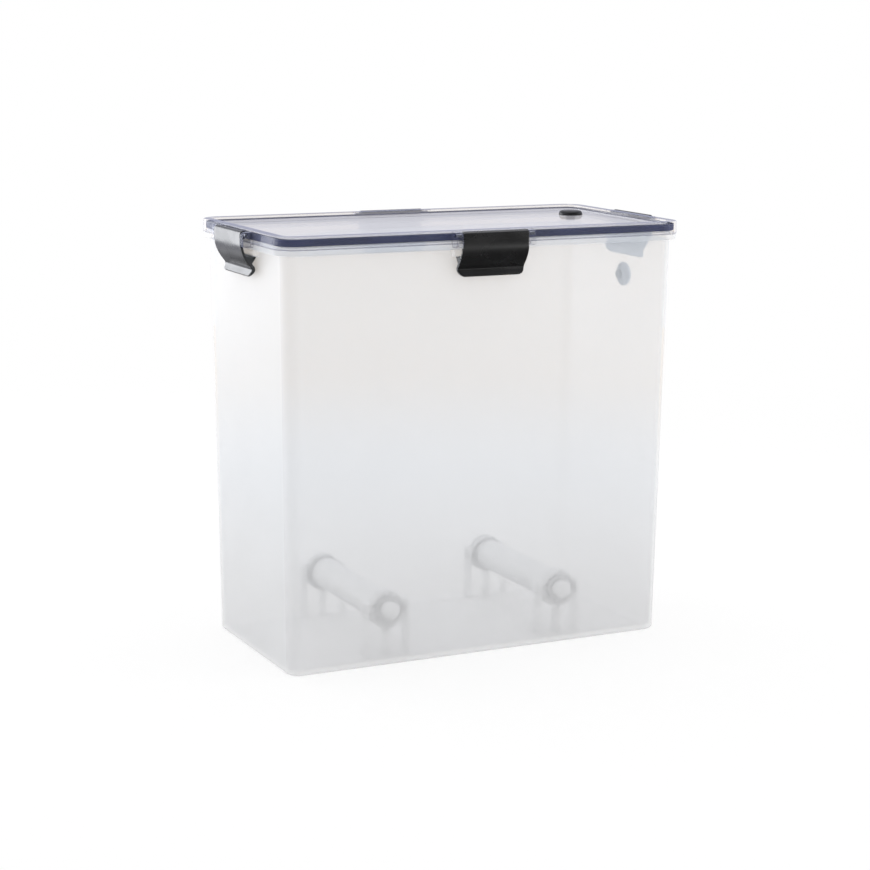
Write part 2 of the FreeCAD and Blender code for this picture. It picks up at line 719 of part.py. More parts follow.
def make_ring(label, outer, inner):
    """A bearing ring about Z with a groove for the balls."""
    disc = primitive("Cylinder", label + "_disc", Radius=outer, Height="bearing_width")
    hole = primitive("Cylinder", label + "_hole", Radius=inner, Height="bearing_width")
    for item in (disc, hole):
        bind(item, "Placement.Base.z", "-bearing_width / 2")
    groove = primitive("Torus", label + "_groove", Radius1="ball_circle / 2")
    bind(groove, "Radius2", "ball_diameter / 2 + race_gap")
    blank = document.addObject("Part::Cut", label + "_blank")
    blank.Base = disc
    blank.Tool = hole
    ring = document.addObject("Part::Cut", label)
    ring.Base = blank
    ring.Tool = groove
    ring.Label = label
    sub_parts.append(ring)
    return ring


def make_balls(label):
    """A full ring of balls about Z."""
    count = round(value_of("ball_count"))
    balls = []
    for number in range(count):
        ball = primitive("Sphere", f"{label}_{number}", Radius="ball_diameter / 2")
        angle = f"({number} * 360 deg / ball_count)"
        bind(ball, "Placement.Base.x", f"ball_circle / 2 * cos({angle})")
        bind(ball, "Placement.Base.y", f"ball_circle / 2 * sin({angle})")
        balls.append(ball)
    group = document.addObject("Part::Compound", label)
    group.Links = balls
    group.Label = label
    sub_parts.append(group)
    return group


# Build, test and write

def check_document():
    for item in document.Objects:
        if {"Invalid", "Error"} & set(item.State):
            raise RuntimeError(f"{item.Label}: {item.State}")
    for item in sub_parts:
        if item.Shape.isNull() or not item.Shape.isValid():
            raise RuntimeError(item.Label + ": bad shape")
        if not item.Shape.Solids:
            raise RuntimeError(item.Label + ": no solid")


def write_parts():
    os.makedirs("parts", exist_ok=True)
    for item in sub_parts:
        item.Shape.exportStep(f"parts/{item.Label}.step")


def main():
    fill_sheets()
    make_container()
    make_lid()
    make_gasket()
    make_latches()
    make_plugs()
    make_rollers()
    document.recompute()
    check_document()
    write_parts()
    for item in sub_parts:
        print(f"{item.Label}: {len(item.Shape.Solids)} solid, {item.Shape.Volume:.1f} mm3")


main()
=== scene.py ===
"""Dresses the filament dryer box: hazy tub, clear lid, navy seal, black latches, stoppers and rollers."""
import math

import bmesh
import bpy
from bpy.props import FloatProperty, FloatVectorProperty, IntProperty, PointerProperty
from mathutils import Matrix, Vector


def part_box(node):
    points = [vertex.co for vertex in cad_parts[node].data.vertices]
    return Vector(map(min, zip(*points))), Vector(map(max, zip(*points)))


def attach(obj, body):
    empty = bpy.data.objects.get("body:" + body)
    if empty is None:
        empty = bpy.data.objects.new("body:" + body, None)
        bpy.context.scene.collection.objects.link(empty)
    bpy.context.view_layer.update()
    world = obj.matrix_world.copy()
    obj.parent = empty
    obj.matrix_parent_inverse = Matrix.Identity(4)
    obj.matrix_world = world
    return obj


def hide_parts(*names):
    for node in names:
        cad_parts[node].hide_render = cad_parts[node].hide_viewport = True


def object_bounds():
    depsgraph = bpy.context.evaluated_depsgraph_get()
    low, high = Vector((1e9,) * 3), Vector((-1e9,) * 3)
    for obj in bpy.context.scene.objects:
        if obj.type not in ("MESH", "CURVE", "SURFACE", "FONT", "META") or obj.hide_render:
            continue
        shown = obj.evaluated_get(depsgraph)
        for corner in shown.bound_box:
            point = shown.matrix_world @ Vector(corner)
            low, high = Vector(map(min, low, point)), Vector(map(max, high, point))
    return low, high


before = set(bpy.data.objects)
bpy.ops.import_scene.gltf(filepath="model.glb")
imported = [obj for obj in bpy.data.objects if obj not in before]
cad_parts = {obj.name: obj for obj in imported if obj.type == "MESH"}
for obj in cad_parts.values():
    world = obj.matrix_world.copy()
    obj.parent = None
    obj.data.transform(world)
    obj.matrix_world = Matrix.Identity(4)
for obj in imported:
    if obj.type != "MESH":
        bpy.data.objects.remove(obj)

bl_info = {
    "name": "Filament dryer box",
    "version": (1, 0, 0),
    "blender": (4, 5, 0),
    "location": "View3D > Sidebar > Dryer box",
    "description": "Finishes every piece of a sealed filament box and sets up its studio",
    "category": "Object",
}

SIDES = ("front", "back", "left", "right")
ROLLER_SIDES = ("left", "right")
BEARINGS = tuple(f"roller_{side}_{end}_bearing" for side in ROLLER_SIDES for end in ("front", "back"))
CAD_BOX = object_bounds()

# How the solids' meshes are cleaned and rounded
MERGE_DISTANCE = 1e-6
FLAT_ANGLE = math.radians(0.5)
SHARP_ANGLE = math.radians(32.0)
BEVEL_SEGMENTS = 2
ROUND_PROFILE = 0.5
LARGEST_FACE = 4
BALL_SUBDIVISIONS = 3

# Where the fins that carry the rollers stand on the tub's floor
CRADLE_HALF_LENGTH = 0.018
CRADLE_INNER = 0.0495
CRADLE_OUTER = 0.0625
CRADLE_FOOT = 0.0036
CRADLE_TOP = 0.05
CRADLE_MIDDLE = sum(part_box("roller_sleeve_right"), Vector()).x / 2

# The lid's sunk panel, set in from the seal's outer side, and the level top of its border
SEAL_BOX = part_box("lid_gasket")
PANEL_INSET = 0.0047
PANEL_FOOT = 0.297
BORDER_FOOT = 0.3015
LEVEL = math.cos(math.radians(10.0))

# Which of a piece's materials its faces use
FIN_SLOT = 1
EDGE_SLOT = 1
PANEL_SLOT = 2
BORDER_SLOT = 3

# How light bends in plain plastic and rubber, and the stronger gloss that some pieces are given
PLASTIC_IOR = 1.49
RUBBER_IOR = 1.45
WALL_IOR = 1.6
LID_IOR = 2.0
LATCH_IOR = 1.8

# Shine and metal of single finishes
FULL_SHINE = 0.5
BORDER_SHINE = 0.1
ROLLER_SHINE = 0.05
PIN_METALLIC = 1.0
BALL_METALLIC = 0.4

# Noise: the part of its range that the surface effects use, and its layers of detail
NOISE_LOW = 0.3
NOISE_HIGH = 0.7
WAVE_DETAIL = 2.0
FINE_DETAIL = 3.0

# Studio: how the world and floor change with direction, distance and layers of plastic
WHITE = (1.0, 1.0, 1.0, 1.0)
MIRRORED_FRONT_Y = -0.75
MIRRORED_BACK_Y = 0.1
FIRST_TINTED_LAYER = 1.0
LAST_TINTED_LAYER = 4.0
FLOOR_DROP = 0.0004
FLOOR_SEGMENTS = 96
FADE_START = 0.5
FADE_END = 1.2
FLOOR_WHITE_SHARE = 0.8
CARD_EDGE = 1.4
CARD_TONE = 0.06
MIRRORED_FLOOR_TONE = 0.85
SENSOR_WIDTH = 36.0
SOFTBOXES = {
    "top": {"size": (1.4, 1.0), "place": (0.1, 0.1, 1.5), "colour": (1.0, 0.99, 0.97)},
    "back": {"size": (1.3, 0.9), "place": (-0.95, 1.3, 0.4), "colour": (0.96, 0.98, 1.0)},
    "right": {"size": (0.9, 0.9), "place": (1.0, -0.7, 0.4), "colour": (1.0, 1.0, 1.0)},
}


# Sizes and colours that a user would change

class TubLook(bpy.types.PropertyGroup):
    """The hazy tub."""
    edge_round: FloatProperty(
        name="Edge rounding", description="Rounding of the tub's moulded edges", unit="LENGTH",
        default=0.00035)
    upper_haze: FloatProperty(
        name="Upper haze", description="Share of light that a wall's face scatters near the rim",
        subtype="FACTOR", default=0.25, min=0.0, max=1.0)
    lower_haze: FloatProperty(
        name="Lower haze", description="Share of light that a wall's face scatters near the base",
        subtype="FACTOR", default=0.34, min=0.0, max=1.0)
    # Near the rim: the plastic's blue tint with painted light, lighter than at the base
    upper_colour: FloatVectorProperty(
        name="Upper colour", description="Plastic near the rim", subtype="COLOR", size=4,
        default=(0.86, 0.9, 0.955, 1.0))
    # Near the base: the plastic painted greyer, as painted shade towards the floor
    lower_colour: FloatVectorProperty(
        name="Lower colour", description="Plastic near the base", subtype="COLOR", size=4,
        default=(0.815, 0.815, 0.825, 1.0))


class LidLook(bpy.types.PropertyGroup):
    """The clear lid."""
    edge_round: FloatProperty(
        name="Edge rounding", description="Rounding of the lid's moulded edges", unit="LENGTH",
        default=0.0004)
    haze: FloatProperty(
        name="Haze", description="Share of light that each face of the skirt scatters",
        subtype="FACTOR", default=0.02, min=0.0, max=1.0)
    panel_haze: FloatProperty(
        name="Panel haze", description="Share of light that each face of the panel scatters",
        subtype="FACTOR", default=0.3, min=0.0, max=1.0)
    colour: FloatVectorProperty(
        name="Colour", description="Clear plastic of the skirt", subtype="COLOR", size=4,
        default=(0.5, 0.54, 0.75, 1.0))
    border_haze: FloatProperty(
        name="Border haze", description="Share of light that the top of the border scatters",
        subtype="FACTOR", default=0.7, min=0.0, max=1.0)
    # Painted refraction: the navy of the seal, which shows through the clear border, painted on top of the
    # border
    border_colour: FloatVectorProperty(
        name="Border colour", description="Blue tint on top of the border", subtype="COLOR", size=4,
        default=(0.04, 0.06, 0.2, 1.0))
    panel_colour: FloatVectorProperty(
        name="Panel colour", description="Clear plastic of the panel", subtype="COLOR", size=4,
        default=(0.82, 0.81, 0.86, 1.0))
    # Painted shade: dark lines on the lid's rounded edges, standing in for the dark lines that refraction
    # draws along clear edges
    edge_colour: FloatVectorProperty(
        name="Edge colour", description="Moulded edges, where the plastic looks deeper", subtype="COLOR",
        size=4, default=(0.2, 0.21, 0.32, 1.0))
    edge_cover: FloatProperty(
        name="Edge cover", description="How much an edge hides", subtype="FACTOR", default=0.45, min=0.0,
        max=1.0)


class LatchLook(bpy.types.PropertyGroup):
    """The four flip latches and their pins."""
    edge_round: FloatProperty(
        name="Edge rounding", description="Rounding of the latches' edges", unit="LENGTH", default=0.00045)
    colour: FloatVectorProperty(
        name="Colour", description="Moulded black plastic", subtype="COLOR", size=4,
        default=(0.006, 0.006, 0.0065, 1.0))
    pin_colour: FloatVectorProperty(
        name="Pin colour", description="Dark steel", subtype="COLOR", size=4,
        default=(0.3, 0.31, 0.34, 1.0))


class SealLook(bpy.types.PropertyGroup):
    """The lid's seal and the two port stoppers."""
    seal_colour: FloatVectorProperty(
        name="Seal colour", description="Navy rubber", subtype="COLOR", size=4,
        default=(0.01, 0.016, 0.08, 1.0))
    stopper_colour: FloatVectorProperty(
        name="Stopper colour", description="Black rubber", subtype="COLOR", size=4,
        default=(0.012, 0.012, 0.013, 1.0))


class RollerLook(bpy.types.PropertyGroup):
    """The spool rollers and their bearings."""
    colour: FloatVectorProperty(
        name="Colour", description="White plastic", subtype="COLOR", size=4,
        default=(0.97, 0.97, 0.97, 1.0))
    glow: FloatProperty(
        name="Scatter depth", description="How far light wanders inside the plastic", unit="LENGTH",
        default=0.02)
    ball_colour: FloatVectorProperty(
        name="Ball colour", description="Bright steel", subtype="COLOR", size=4,
        default=(0.9, 0.9, 0.91, 1.0))
    ball_count: IntProperty(name="Balls", description="Balls in one bearing", default=12, min=3)
    ball_size: FloatProperty(
        name="Ball diameter", description="One ball", unit="LENGTH", default=0.00476)
    ball_circle: FloatProperty(
        name="Ball circle", description="Diameter through the balls' middles", unit="LENGTH", default=0.02)


class StudioLook(bpy.types.PropertyGroup):
    """The floor, lamps and camera."""
    floor_colour: FloatVectorProperty(
        name="Floor", description="Pale floor", subtype="COLOR", size=4, default=(0.9, 0.9, 0.9, 1.0))
    card_place: FloatVectorProperty(
        name="Dark card", description="Where glossy pieces mirror a dark card on the floor",
        subtype="TRANSLATION", default=(0.0, 0.1, 0.0))
    card_reach: FloatProperty(
        name="Card reach", description="Radius of the dark card", unit="LENGTH", default=0.6)
    floor_radius: FloatProperty(
        name="Floor radius", description="Round floor", unit="LENGTH", default=1.6)
    backdrop_tint: FloatVectorProperty(
        name="Backdrop tint", description="White backdrop as hazy walls let it through", subtype="COLOR",
        size=4, default=(1.0, 0.85, 0.68, 1.0))
    mirrored_back: FloatVectorProperty(
        name="Mirrored back", description="Backdrop as glossy pieces mirror it", subtype="COLOR", size=4,
        default=(0.64, 0.65, 0.73, 1.0))
    mirrored_front: FloatVectorProperty(
        name="Mirrored front", description="Camera's side as glossy pieces mirror it", subtype="COLOR",
        size=4, default=(0.1, 0.1, 0.1, 1.0))
    sky_level: FloatProperty(
        name="Sky level", description="Even light from all round", default=0.9, min=0.0)
    top_power: FloatProperty(
        name="Top lamp", description="Softbox overhead", unit="POWER", default=4.5)
    back_power: FloatProperty(
        name="Back lamp", description="Softbox behind, on the left", unit="POWER", default=11.0)
    right_power: FloatProperty(
        name="Right lamp", description="Softbox in front, on the right", unit="POWER", default=3.0)
    azimuth: FloatProperty(
        name="Azimuth", description="Camera's turn about the box", subtype="ANGLE",
        default=math.radians(-26.1266))
    elevation: FloatProperty(
        name="Elevation", description="Camera above the horizon", subtype="ANGLE",
        default=math.radians(11.0605))
    roll: FloatProperty(
        name="Roll", description="Camera's own turn", subtype="ANGLE", default=math.radians(0.4016))
    distance: FloatProperty(
        name="Distance", description="Camera to the box", unit="LENGTH", default=1.56545)
    pan: FloatVectorProperty(
        name="Pan", description="Camera moved right and up", size=2, unit="LENGTH",
        default=(-0.002848, -0.005994))
    aim_height: FloatProperty(
        name="Aim height", description="Point looked at", unit="LENGTH", default=0.151)
    lens: FloatProperty(
        name="Lens", description="Focal length in millimetres", unit="CAMERA", default=89.048)


LOOKS = {
    "drybox_tub": TubLook,
    "drybox_lid": LidLook,
    "drybox_latch": LatchLook,
    "drybox_seal": SealLook,
    "drybox_roller": RollerLook,
    "drybox_studio": StudioLook,
}


# Meshes

def keep_result(piece):
    """Turn what a piece's modifiers make into its plain mesh."""
    depsgraph = bpy.context.evaluated_depsgraph_get()
    depsgraph.update()
    mesh = bpy.data.meshes.new_from_object(piece.evaluated_get(depsgraph))
    piece.modifiers.clear()
    piece.data = mesh
    mesh.name = piece.name


def finish_mesh(name, bm, body, material):
    """Turn edited geometry into a smooth-shaded piece that rides on a body."""
    mesh = bpy.data.meshes.new(name)
    bm.to_mesh(mesh)
    bm.free()
    mesh.shade_smooth()
    mesh.set_sharp_from_angle(angle=SHARP_ANGLE)
    mesh.materials.append(material)
    piece = bpy.data.objects.new(name, mesh)
    bpy.context.scene.collection.objects.link(piece)
    shading = piece.modifiers.new("flat_faces_first", "WEIGHTED_NORMAL")
    shading.keep_sharp = True
    keep_result(piece)
    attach(piece, body)
    return piece


def softened_piece(node, name, body, material, width, edge_material=None):
    """A copy of a solid's mesh whose sharp edges are rounded, shown in the solid's place.

    The rounded edges can have a material of their own.
    """
    bm = bmesh.new()
    bm.from_mesh(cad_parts[node].data)
    bmesh.ops.remove_doubles(bm, verts=bm.verts, dist=MERGE_DISTANCE)
    bmesh.ops.dissolve_limit(bm, angle_limit=FLAT_ANGLE, verts=bm.verts, edges=bm.edges)
    sharp = [edge for edge in bm.edges if edge.is_manifold and edge.calc_face_angle() > SHARP_ANGLE]
    rounding = bmesh.ops.bevel(
        bm, geom=sharp, offset=width, offset_type="OFFSET", segments=BEVEL_SEGMENTS, profile=ROUND_PROFILE,
        affect="EDGES", clamp_overlap=False)
    if edge_material:
        for face in rounding["faces"]:
            face.material_index = EDGE_SLOT
    bmesh.ops.triangulate(bm, faces=[face for face in bm.faces if len(face.verts) > LARGEST_FACE])
    piece = finish_mesh(name, bm, body, material)
    if edge_material:
        piece.data.materials.append(edge_material)
    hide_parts(node)
    return piece


def paint_node(node, material):
    """Give a solid that stays in view its finish."""
    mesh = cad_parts[node].data
    mesh.materials.clear()
    mesh.materials.append(material)


# Shared surface effects

def new_group(name, inputs, outputs):
    """An empty shader group with named sockets, and its two end nodes."""
    group = bpy.data.node_groups.new(name, "ShaderNodeTree")
    for label, kind, default in inputs:
        socket = group.interface.new_socket(label, in_out="INPUT", socket_type=kind)
        socket.default_value = default
    for label, kind in outputs:
        group.interface.new_socket(label, in_out="OUTPUT", socket_type=kind)
    entry = group.nodes.new("NodeGroupInput")
    leave = group.nodes.new("NodeGroupOutput")
    return group, entry, leave


def feed(tree, socket, value):
    """Link a socket to another one, or set it to a plain value."""
    if isinstance(value, bpy.types.NodeSocket):
        tree.links.new(value, socket)
    else:
        socket.default_value = value


def add_noise(tree, coordinates, scale, detail):
    noise = tree.nodes.new("ShaderNodeTexNoise")
    noise.inputs["Detail"].default_value = detail
    tree.links.new(coordinates.outputs["Object"], noise.inputs["Vector"])
    tree.links.new(scale, noise.inputs["Scale"])
    return noise.outputs["Fac"]


def add_math(tree, operation, *values):
    node = tree.nodes.new("ShaderNodeMath")
    node.operation = operation
    for socket, value in zip(node.inputs, values):
        feed(tree, socket, value)
    return node.outputs["Value"]


def add_range(tree, value, from_low, from_high, to_low, to_high):
    """Turn one range of a value smoothly into another."""
    node = tree.nodes.new("ShaderNodeMapRange")
    node.interpolation_type = "SMOOTHSTEP"
    tree.links.new(value, node.inputs["Value"])
    ends = {"From Min": from_low, "From Max": from_high, "To Min": to_low, "To Max": to_high}
    for label, end in ends.items():
        feed(tree, node.inputs[label], end)
    return node.outputs["Result"]


def add_colour_mix(tree, factor, first, second, blend="MIX"):
    node = tree.nodes.new("ShaderNodeMix")
    node.data_type = "RGBA"
    node.blend_type = blend
    for label, value in (("Factor_Float", factor), ("A_Color", first), ("B_Color", second)):
        socket = next(item for item in node.inputs if item.identifier == label)
        feed(tree, socket, value)
    return next(item for item in node.outputs if item.identifier == "Result_Color")


def moulded_skin():
    """Slow waviness and fine grain of a moulded face, as roughness and height."""
    group, entry, leave = new_group(
        "moulded_skin",
        [
            ("Wave scale", "NodeSocketFloat", 20.0),
            ("Grain scale", "NodeSocketFloat", 900.0),
            ("Grain share", "NodeSocketFloat", 0.3),
            ("Smoothest", "NodeSocketFloat", 0.1),
            ("Roughest", "NodeSocketFloat", 0.2),
        ],
        [("Roughness", "NodeSocketFloat"), ("Height", "NodeSocketFloat")],
    )
    place = group.nodes.new("ShaderNodeTexCoord")
    wave = add_noise(group, place, entry.outputs["Wave scale"], WAVE_DETAIL)
    grain = add_noise(group, place, entry.outputs["Grain scale"], FINE_DETAIL)
    fine = add_math(group, "MULTIPLY", grain, entry.outputs["Grain share"])
    height = add_math(group, "ADD", wave, fine)
    rough = add_range(
        group, wave, NOISE_LOW, NOISE_HIGH, entry.outputs["Smoothest"], entry.outputs["Roughest"])
    group.links.new(rough, leave.inputs["Roughness"])
    group.links.new(height, leave.inputs["Height"])
    return group


def tone_drift():
    """Two close tones of one plastic that drift into each other over the surface."""
    group, entry, leave = new_group(
        "tone_drift",
        [
            ("Scale", "NodeSocketFloat", 12.0),
            ("First tone", "NodeSocketColor", (0.8, 0.8, 0.8, 1.0)),
            ("Second tone", "NodeSocketColor", (0.7, 0.7, 0.7, 1.0)),
        ],
        [("Colour", "NodeSocketColor")],
    )
    place = group.nodes.new("ShaderNodeTexCoord")
    drift = add_noise(group, place, entry.outputs["Scale"], FINE_DETAIL)
    even = add_range(group, drift, NOISE_LOW, NOISE_HIGH, 0.0, 1.0)
    colour = add_colour_mix(group, even, entry.outputs["First tone"], entry.outputs["Second tone"])
    group.links.new(colour, leave.inputs["Colour"])
    return group


def shared_group(build):
    """The group that a function builds, built only once."""
    return bpy.data.node_groups.get(build.__name__) or build()


# Materials

class Finish:
    """One material with a Principled shader and the shared groups wired to it."""

    def __init__(self, name, **settings):
        self.material = bpy.data.materials.new(name)
        self.material.use_nodes = True
        self.tree = self.material.node_tree
        self.shader = self.tree.nodes["Principled BSDF"]
        for label, value in settings.items():
            self.shader.inputs[label.replace("_", " ")].default_value = value

    def place_group(self, build, **values):
        """Add a shared group with this material's own values."""
        node = self.tree.nodes.new("ShaderNodeGroup")
        node.node_tree = shared_group(build)
        for label, value in values.items():
            node.inputs[label.replace("_", " ")].default_value = value
        return node

    def add_skin(self, depth, **values):
        """Roughness and relief of a moulded face; depth is the relief's height in metres."""
        skin = self.place_group(moulded_skin, **values)
        bump = self.tree.nodes.new("ShaderNodeBump")
        bump.inputs["Distance"].default_value = depth
        self.tree.links.new(skin.outputs["Height"], bump.inputs["Height"])
        self.tree.links.new(bump.outputs["Normal"], self.shader.inputs["Normal"])
        self.tree.links.new(skin.outputs["Roughness"], self.shader.inputs["Roughness"])

    def let_through(self, haze):
        """Make a face see-through: it scatters a share of the light, and more where it is seen aslant.

        The share is a number or a socket.
        """
        gloss = self.tree.nodes.new("ShaderNodeFresnel")
        gloss.inputs["IOR"].default_value = PLASTIC_IOR
        side = self.tree.nodes.new("ShaderNodeNewGeometry")
        entering = add_math(self.tree, "SUBTRACT", 1.0, side.outputs["Backfacing"])
        slant = add_math(self.tree, "MULTIPLY", gloss.outputs["Fac"], entering)
        clear = add_math(self.tree, "SUBTRACT", 1.0, haze)
        cover = add_math(self.tree, "MULTIPLY_ADD", slant, clear, haze)
        self.tree.links.new(cover, self.shader.inputs["Alpha"])

    def add_tones(self, first, scale, share):
        """A tone that drifts between a colour and a darker share of it."""
        second = [part * share for part in first[:3]] + [1.0]
        tones = self.place_group(tone_drift, Scale=scale, First_tone=first, Second_tone=second)
        self.tree.links.new(tones.outputs["Colour"], self.shader.inputs["Base Color"])


def tub_finish(look):
    """Hazy see-through plastic with a blue tint, denser towards the base; its colour is painted shade,
    lighter and bluer towards the rim and greyer towards the base.
    """
    finish = Finish("hazy_tub_plastic", IOR=WALL_IOR)
    finish.add_skin(
        depth=0.00002, Wave_scale=14.0, Grain_scale=600.0, Grain_share=0.15, Smoothest=0.36, Roughest=0.44)
    tree = finish.tree
    place = tree.nodes.new("ShaderNodeTexCoord")
    split = tree.nodes.new("ShaderNodeSeparateXYZ")
    tree.links.new(place.outputs["Object"], split.inputs["Vector"])
    height = CAD_BOX[1].z
    rise = add_range(tree, split.outputs["Z"], 0.0, height, 0.0, 1.0)
    # Painted shade: the colour rises from the grey base to the lighter, bluer rim
    colour = add_colour_mix(tree, rise, look.lower_colour, look.upper_colour)
    dull = (0.985, 0.985, 0.985, 1.0)
    drift = finish.place_group(tone_drift, Scale=9.0, First_tone=WHITE, Second_tone=dull)
    result = add_colour_mix(tree, 1.0, colour, drift.outputs["Colour"], "MULTIPLY")
    tree.links.new(result, finish.shader.inputs["Base Color"])
    haze = add_range(tree, split.outputs["Z"], 0.0, height, look.lower_haze, look.upper_haze)
    finish.let_through(haze)
    return finish.material


def lid_finish(name, colour, haze, shine):
    finish = Finish(name, IOR=LID_IOR, Specular_IOR_Level=shine)
    finish.add_skin(
        depth=0.00001, Wave_scale=18.0, Grain_scale=700.0, Grain_share=0.1, Smoothest=0.03, Roughest=0.07)
    finish.add_tones(colour, scale=10.0, share=0.985)
    finish.let_through(haze)
    return finish.material


# Dark lines painted on the lid's rounded edges, as painted shade from refraction
def lid_edge_finish(look):
    finish = Finish("clear_lid_edge", IOR=PLASTIC_IOR, Roughness=0.08, Alpha=look.edge_cover)
    finish.add_tones(look.edge_colour, scale=30.0, share=0.8)
    return finish.material


def latch_finish(look):
    finish = Finish("black_latch_plastic", IOR=LATCH_IOR)
    finish.add_skin(
        depth=0.00002, Wave_scale=60.0, Grain_scale=1800.0, Grain_share=0.5, Smoothest=0.2, Roughest=0.3)
    finish.add_tones(look.colour, scale=40.0, share=0.75)
    return finish.material


def steel_finish(name, colour, metallic):
    finish = Finish(name, Metallic=metallic)
    finish.add_skin(
        depth=0.000004, Wave_scale=80.0, Grain_scale=4000.0, Grain_share=1.0, Smoothest=0.18, Roughest=0.3)
    finish.add_tones(colour, scale=120.0, share=0.9)
    return finish.material


def seal_finish(look):
    finish = Finish("navy_seal_rubber", IOR=RUBBER_IOR)
    finish.add_skin(
        depth=0.00002, Wave_scale=40.0, Grain_scale=1500.0, Grain_share=0.8, Smoothest=0.45, Roughest=0.6)
    finish.add_tones(look.seal_colour, scale=30.0, share=0.7)
    return finish.material


def stopper_finish(look):
    finish = Finish("black_stopper_rubber", IOR=RUBBER_IOR)
    finish.add_skin(
        depth=0.00002, Wave_scale=90.0, Grain_scale=2200.0, Grain_share=0.8, Smoothest=0.28, Roughest=0.42)
    finish.add_tones(look.stopper_colour, scale=70.0, share=0.7)
    return finish.material


def roller_finish(look):
    finish = Finish(
        "white_roller_plastic", IOR=PLASTIC_IOR, Specular_IOR_Level=ROLLER_SHINE, Subsurface_Weight=1.0,
        Subsurface_Radius=(1.0, 1.0, 1.0), Subsurface_Scale=look.glow)
    finish.add_skin(
        depth=0.00002, Wave_scale=45.0, Grain_scale=1400.0, Grain_share=0.5, Smoothest=0.3, Roughest=0.42)
    finish.add_tones(look.colour, scale=25.0, share=0.96)
    return finish.material


# Ring of bearing balls

def ball_ring_tree():
    """Balls set evenly round a circle about the Y axis."""
    tree = bpy.data.node_groups.new("ball_ring", "GeometryNodeTree")
    tree.is_modifier = True
    for label, kind in (
        ("Ball count", "NodeSocketInt"),
        ("Ball radius", "NodeSocketFloat"),
        ("Circle radius", "NodeSocketFloat"),
        ("Middle", "NodeSocketVector"),
        ("Material", "NodeSocketMaterial"),
    ):
        tree.interface.new_socket(label, in_out="INPUT", socket_type=kind)
    tree.interface.new_socket("Geometry", in_out="OUTPUT", socket_type="NodeSocketGeometry")
    entry = tree.nodes.new("NodeGroupInput")
    leave = tree.nodes.new("NodeGroupOutput")
    circle = tree.nodes.new("GeometryNodeMeshCircle")
    turn = tree.nodes.new("GeometryNodeTransform")
    turn.inputs["Rotation"].default_value = (math.pi / 2, 0.0, 0.0)
    ball = tree.nodes.new("GeometryNodeMeshIcoSphere")
    ball.inputs["Subdivisions"].default_value = BALL_SUBDIVISIONS
    smooth = tree.nodes.new("GeometryNodeSetShadeSmooth")
    spread = tree.nodes.new("GeometryNodeInstanceOnPoints")
    solid = tree.nodes.new("GeometryNodeRealizeInstances")
    paint = tree.nodes.new("GeometryNodeSetMaterial")
    for node, label, source in (
        (circle, "Vertices", entry.outputs["Ball count"]),
        (circle, "Radius", entry.outputs["Circle radius"]),
        (turn, "Geometry", circle.outputs["Mesh"]),
        (turn, "Translation", entry.outputs["Middle"]),
        (ball, "Radius", entry.outputs["Ball radius"]),
        (smooth, "Geometry", ball.outputs["Mesh"]),
        (spread, "Points", turn.outputs["Geometry"]),
        (spread, "Instance", smooth.outputs["Geometry"]),
        (solid, "Geometry", spread.outputs["Instances"]),
        (paint, "Geometry", solid.outputs["Geometry"]),
        (paint, "Material", entry.outputs["Material"]),
        (leave, "Geometry", paint.outputs["Geometry"]),
    ):
        tree.links.new(source, node.inputs[label])
    return tree


def grow(name, tree, values):
    """Run a geometry tree and keep its result as a plain mesh."""
    piece = bpy.data.objects.new(name, bpy.data.meshes.new(name + "_seed"))
    bpy.context.scene.collection.objects.link(piece)
    modifier = piece.modifiers.new(tree.name, "NODES")
    modifier.node_group = tree
    for item in tree.interface.items_tree:
        if item.item_type == "SOCKET" and item.in_out == "INPUT":
            modifier[item.identifier] = values[item.name]
    keep_result(piece)
    return piece


# One operator for each piece or group of like pieces

def on_cradle(point):
    """Whether a point of the tub lies on one of the fins that carry the rollers."""
    across = abs(abs(point.x) - CRADLE_MIDDLE) < CRADLE_HALF_LENGTH
    along = CRADLE_INNER < abs(point.y) < CRADLE_OUTER
    return across and along and CRADLE_FOOT < point.z < CRADLE_TOP


def on_panel(point):
    """Whether a point of the lid lies on its sunk panel."""
    inside = all(abs(point[axis]) < SEAL_BOX[1][axis] - PANEL_INSET for axis in (0, 1))
    return inside and point.z > PANEL_FOOT


class DRYBOX_OT_tub(bpy.types.Operator):
    """Finish the hazy tub"""
    bl_idname = "drybox.tub"
    bl_label = "Tub"

    def execute(self, context):
        look = context.scene.drybox_tub
        plastic = tub_finish(look)
        tub = softened_piece("container", "tub", "container", plastic, look.edge_round)
        tub.data.materials.append(roller_finish(context.scene.drybox_roller))
        for face in tub.data.polygons:
            face.material_index = FIN_SLOT if on_cradle(face.center) else 0
        return {"FINISHED"}


class DRYBOX_OT_lid(bpy.types.Operator):
    """Finish the clear lid"""
    bl_idname = "drybox.lid"
    bl_label = "Lid"

    def execute(self, context):
        look = context.scene.drybox_lid
        skirt = lid_finish("clear_lid_plastic", look.colour, look.haze, FULL_SHINE)
        panel = lid_finish("clear_panel_plastic", look.panel_colour, look.panel_haze, FULL_SHINE)
        # The border's top gets the painted refraction of the navy seal beneath it
        border = lid_finish("tinted_border_plastic", look.border_colour, look.border_haze, BORDER_SHINE)
        # The lid's rounded edges get the painted dark lines
        edges = lid_edge_finish(look)
        lid = softened_piece("lid", "clear_lid", "lid", skirt, look.edge_round, edges)
        lid.data.materials.append(panel)
        lid.data.materials.append(border)
        for face in lid.data.polygons:
            if face.material_index == 0 and on_panel(face.center):
                face.material_index = PANEL_SLOT
            # Level faces on top of the border take the painted navy of the seal
            elif face.center.z > BORDER_FOOT and face.normal.z > LEVEL:
                face.material_index = BORDER_SLOT
        return {"FINISHED"}


